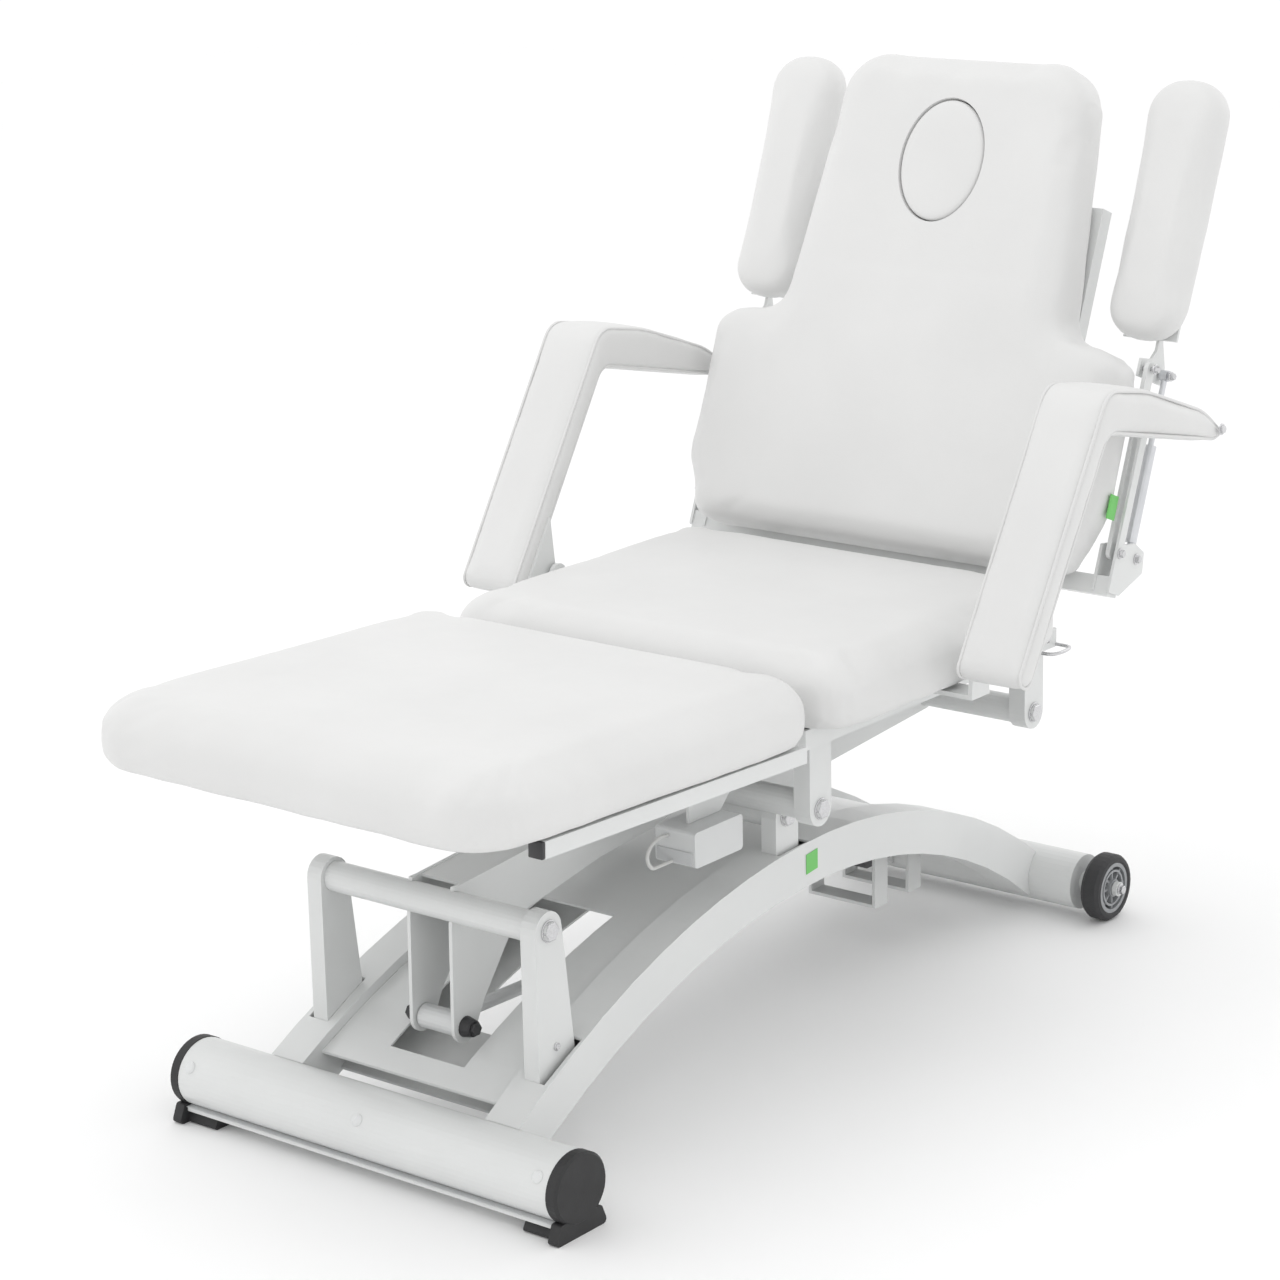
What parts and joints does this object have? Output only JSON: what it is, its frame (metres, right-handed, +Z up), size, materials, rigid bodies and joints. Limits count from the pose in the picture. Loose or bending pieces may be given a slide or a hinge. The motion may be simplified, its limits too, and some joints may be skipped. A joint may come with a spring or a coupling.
{
  "type": "facial treatment bed",
  "caption": "Powered treatment bed with a reclining back, tilting leg section, padded armrests and side arm pads on an arched lifting base.",
  "frame": {"origin": "middle of the footprint's bounding box, on the floor", "axes": "+Y from the foot end to the head end, +Z up, X is the width"},
  "size_m": [0.9, 1.4893, 1.1756],
  "materials": {
    "white_powder_coat": "satin white powder coat",
    "white_upholstery": "semi-matt white synthetic leather",
    "black_rubber": "matt",
    "tyre_rubber": "matt",
    "grey_plastic": "matt light grey",
    "black_plastic": "matt black",
    "bright_steel": "bright",
    "grey_strut": "grey zinc",
    "cable_sheath": "matt grey"
  },
  "bodies": {
    "base": {"front_crossbar": "white_powder_coat", "rear_crossbar": "white_powder_coat", "base_cover_plate": "white_powder_coat", "base_tray": "white_powder_coat", "guard_strap": "white_powder_coat", "actuator_mount_strap": "white_powder_coat", "front_end_cap_left": "black_rubber", "front_end_cap_right": "black_rubber", "side_beam_left": "white_powder_coat", "side_beam_right": "white_powder_coat", "front_post_left": "white_powder_coat", "front_post_right": "white_powder_coat", "mid_post_left": "white_powder_coat", "mid_post_right": "white_powder_coat"},
    "wheel_left": {"wheel_hub_left": "grey_plastic", "wheel_tyre_left": "tyre_rubber"},
    "wheel_right": {"wheel_hub_right": "grey_plastic", "wheel_tyre_right": "tyre_rubber"},
    "front_lift_arm": {"front_pivot_tube": "white_powder_coat", "front_upper_tube": "white_powder_coat", "lift_arm_channel": "white_powder_coat", "crank_pin": "black_plastic"},
    "rear_lever": {"rear_pivot_tube": "white_powder_coat", "rear_upper_tube": "white_powder_coat", "rear_lever_bar_left": "white_powder_coat", "rear_lever_bar_right": "white_powder_coat"},
    "height_motor": {"height_actuator_body": "black_plastic"},
    "height_ram": {"height_actuator_rod": "bright_steel"},
    "chassis": {"chassis_side_left": "white_powder_coat", "chassis_side_right": "white_powder_coat", "crossmember_front": "white_powder_coat", "crossmember_leg_motor": "white_powder_coat", "crossmember_back_motor": "white_powder_coat", "back_hinge_shaft": "bright_steel", "seat_cushion": "white_upholstery", "control_box": "grey_plastic", "control_cable": "cable_sheath"},
    "leg_section": {"leg_cushion": "white_upholstery", "leg_frame": "white_powder_coat"},
    "leg_motor": {"leg_actuator_body": "black_plastic"},
    "leg_ram": {"leg_actuator_rod": "bright_steel"},
    "backrest": {"back_cushion": "white_upholstery", "back_frame": "white_powder_coat"},
    "face_plug": {"face_hole_plug": "white_upholstery"},
    "back_motor": {"back_actuator_body": "black_plastic"},
    "back_ram": {"back_actuator_rod": "bright_steel"},
    "arm_post_left": {"armrest_post_left": "white_upholstery"},
    "arm_pad_left": {"armrest_pad_left": "white_upholstery"},
    "side_link_left": {"side_arm_left": "grey_strut"},
    "side_strut_left": {"side_strut_left": "grey_strut"},
    "side_pad_left": {"side_pad_left": "white_upholstery", "side_pad_carrier_left": "grey_strut"},
    "arm_post_right": {"armrest_post_right": "white_upholstery"},
    "arm_pad_right": {"armrest_pad_right": "white_upholstery"},
    "side_link_right": {"side_arm_right": "grey_strut"},
    "side_strut_right": {"side_strut_right": "grey_strut"},
    "side_pad_right": {"side_pad_right": "white_upholstery", "side_pad_carrier_right": "grey_strut"}
  },
  "joints": [
    {"name": "lift", "type": "hinge", "parent": "base", "child": "front_lift_arm", "pos_m": [0, -0.4787, 0.3033], "axis": [1, 0, 0], "range_deg": [0, 40]},
    {"name": "rear_lever_pivot", "type": "hinge", "parent": "base", "child": "rear_lever", "pos_m": [0, 0.0053, 0.306], "axis": [1, 0, 0], "range_deg": [-1, 41]},
    {"name": "seat_level", "type": "hinge", "parent": "front_lift_arm", "child": "chassis", "pos_m": [0, -0.0267, 0.338], "axis": [1, 0, 0], "range_deg": [-41, 1]},
    {"name": "height_motor_pivot", "type": "hinge", "parent": "base", "child": "height_motor", "pos_m": [0, 0.4423, 0.125], "axis": [1, 0, 0], "range_deg": [-4, 1]},
    {"name": "height_ram_pivot", "type": "hinge", "parent": "front_lift_arm", "child": "height_ram", "pos_m": [0, -0.4667, 0.1505], "axis": [1, 0, 0], "range_deg": [-44, 1]},
    {"name": "leg_tilt", "type": "hinge", "parent": "chassis", "child": "leg_section", "pos_m": [0, -0.1127, 0.482], "axis": [1, 0, 0], "range_deg": [-13, 14]},
    {"name": "leg_motor_pivot", "type": "hinge", "parent": "chassis", "child": "leg_motor", "pos_m": [0, 0.1373, 0.399], "axis": [1, 0, 0], "range_deg": [-5, 5]},
    {"name": "leg_ram_pivot", "type": "hinge", "parent": "leg_section", "child": "leg_ram", "pos_m": [0, -0.2227, 0.393], "axis": [1, 0, 0], "range_deg": [-10.5, 10]},
    {"name": "back_recline", "type": "hinge", "parent": "chassis", "child": "backrest", "pos_m": [0, 0.4473, 0.45], "axis": [1, 0, 0], "range_deg": [-68.5, 6.5]},
    {"name": "back_motor_pivot", "type": "hinge", "parent": "chassis", "child": "back_motor", "pos_m": [0, 0.0373, 0.405], "axis": [1, 0, 0], "range_deg": [-1, 6]},
    {"name": "back_ram_pivot", "type": "hinge", "parent": "backrest", "child": "back_ram", "pos_m": [0, 0.4443, 0.39], "axis": [1, 0, 0], "range_deg": [-8, 75]},
    {"name": "face_plug_pull", "type": "slide", "parent": "backrest", "child": "face_plug", "axis": [0, -0.9304, 0.3665], "range_m": [0, 0.09]},
    {"name": "arm_post_swing_left", "type": "hinge", "parent": "chassis", "child": "arm_post_left", "pos_m": [0, 0.1673, 0.51], "axis": [1, 0, 0], "range_deg": [-69, 7]},
    {"name": "arm_pad_level_left", "type": "hinge", "parent": "arm_post_left", "child": "arm_pad_left", "pos_m": [0, 0.2773, 0.79], "axis": [1, 0, 0], "range_deg": [-7, 69]},
    {"name": "side_arm_swing_left", "type": "hinge", "parent": "backrest", "child": "side_link_left", "pos_m": [0, 0.49152, 0.56499], "axis": [1, 0, 0], "range_deg": [-50, 0]},
    {"name": "side_strut_swing_left", "type": "hinge", "parent": "backrest", "child": "side_strut_left", "pos_m": [0, 0.53246, 0.54887], "axis": [1, 0, 0], "range_deg": [-51, 1]},
    {"name": "side_pad_level_left", "type": "hinge", "parent": "side_link_left", "child": "side_pad_left", "pos_m": [0, 0.5808, 0.79164], "axis": [1, 0, 0], "range_deg": [-1, 51]},
    {"name": "wheel_spin_left", "type": "hinge", "parent": "base", "child": "wheel_left", "pos_m": [0, 0.636, 0.0465], "axis": [1, 0, 0], "continuous": true},
    {"name": "arm_post_swing_right", "type": "hinge", "parent": "chassis", "child": "arm_post_right", "pos_m": [0, 0.1673, 0.51], "axis": [1, 0, 0], "range_deg": [-69, 7]},
    {"name": "arm_pad_level_right", "type": "hinge", "parent": "arm_post_right", "child": "arm_pad_right", "pos_m": [0, 0.2773, 0.79], "axis": [1, 0, 0], "range_deg": [-7, 69]},
    {"name": "side_arm_swing_right", "type": "hinge", "parent": "backrest", "child": "side_link_right", "pos_m": [0, 0.49152, 0.56499], "axis": [1, 0, 0], "range_deg": [-50, 0]},
    {"name": "side_strut_swing_right", "type": "hinge", "parent": "backrest", "child": "side_strut_right", "pos_m": [0, 0.53246, 0.54887], "axis": [1, 0, 0], "range_deg": [-51, 1]},
    {"name": "side_pad_level_right", "type": "hinge", "parent": "side_link_right", "child": "side_pad_right", "pos_m": [0, 0.5808, 0.79164], "axis": [1, 0, 0], "range_deg": [-1, 51]},
    {"name": "wheel_spin_right", "type": "hinge", "parent": "base", "child": "wheel_right", "pos_m": [0, 0.636, 0.0465], "axis": [1, 0, 0], "continuous": true}
  ],
  "couplings": [
    {"joint": "rear_lever_pivot", "follows": "lift", "ratio": 1},
    {"joint": "seat_level", "follows": "lift", "ratio": -1},
    {"joint": "height_motor_pivot", "follows": "lift", "ratio": -0.0696},
    {"joint": "height_ram_pivot", "follows": "lift", "ratio": -1.0696},
    {"joint": "leg_motor_pivot", "follows": "leg_tilt", "ratio": 0.308},
    {"joint": "leg_ram_pivot", "follows": "leg_tilt", "ratio": -0.692},
    {"joint": "back_motor_pivot", "follows": "back_recline", "ratio": -0.076},
    {"joint": "back_ram_pivot", "follows": "back_recline", "ratio": -1.076},
    {"joint": "arm_post_swing_left", "follows": "back_recline", "ratio": 1},
    {"joint": "arm_pad_level_left", "follows": "back_recline", "ratio": -1},
    {"joint": "side_strut_swing_left", "follows": "side_arm_swing_left", "ratio": 1},
    {"joint": "side_pad_level_left", "follows": "side_arm_swing_left", "ratio": -1},
    {"joint": "arm_post_swing_right", "follows": "back_recline", "ratio": 1},
    {"joint": "arm_pad_level_right", "follows": "back_recline", "ratio": -1},
    {"joint": "side_strut_swing_right", "follows": "side_arm_swing_right", "ratio": 1},
    {"joint": "side_pad_level_right", "follows": "side_arm_swing_right", "ratio": -1}
  ]
}
